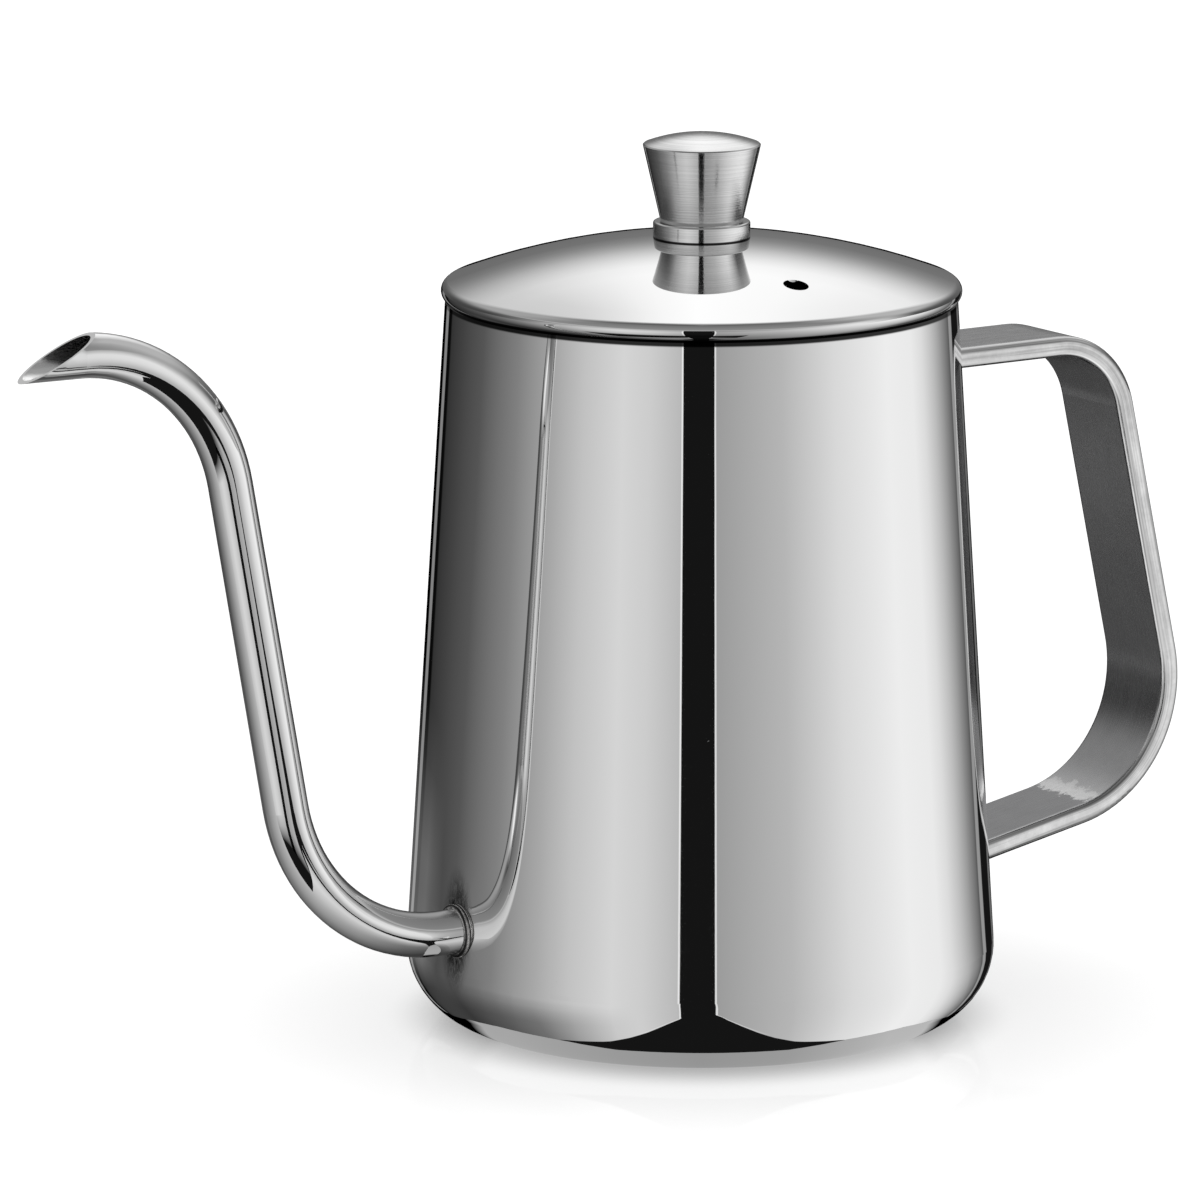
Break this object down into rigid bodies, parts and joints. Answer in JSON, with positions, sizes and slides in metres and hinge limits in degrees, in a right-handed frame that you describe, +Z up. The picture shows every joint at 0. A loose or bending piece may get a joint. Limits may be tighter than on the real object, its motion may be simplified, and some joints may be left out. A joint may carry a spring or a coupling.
{
  "type": "gooseneck kettle",
  "caption": "Polished steel pour-over kettle: tapered drum, slim gooseneck spout with a slant-cut tip, flat strap handle and a lift-off domed lid with a conical knob.",
  "frame": {"origin": "middle of the base, on the surface that the kettle stands on", "axes": "+Z up along the body's axis, spout along -X, handle along +X"},
  "size_m": [0.2101, 0.092, 0.1398],
  "materials": {
    "polished_steel": "mirror-polished stainless steel",
    "satin_steel": "satin stainless steel with fine grinding lines along the strap",
    "turned_steel": "fine-turned stainless steel",
    "weld_metal": "uneven weld bead, lightly polished, with some heat tint",
    "fastener_steel": "plain stainless fastener"
  },
  "bodies": {
    "kettle": {"body_shell": "polished_steel", "base_plate": "polished_steel", "spout_tube": "polished_steel", "spout_weld_bead": "weld_metal", "handle_strap": "satin_steel"},
    "lid": {"lid_dome": "polished_steel", "lid_sleeve": "polished_steel", "knob_collar": "turned_steel", "lid_knob": "turned_steel", "knob_washer": "fastener_steel", "knob_screw": "fastener_steel"}
  },
  "joints": [
    {"name": "lid_lift", "type": "slide", "parent": "kettle", "child": "lid", "axis": [0, 0, 1], "range_m": [0, 0.09]}
  ]
}
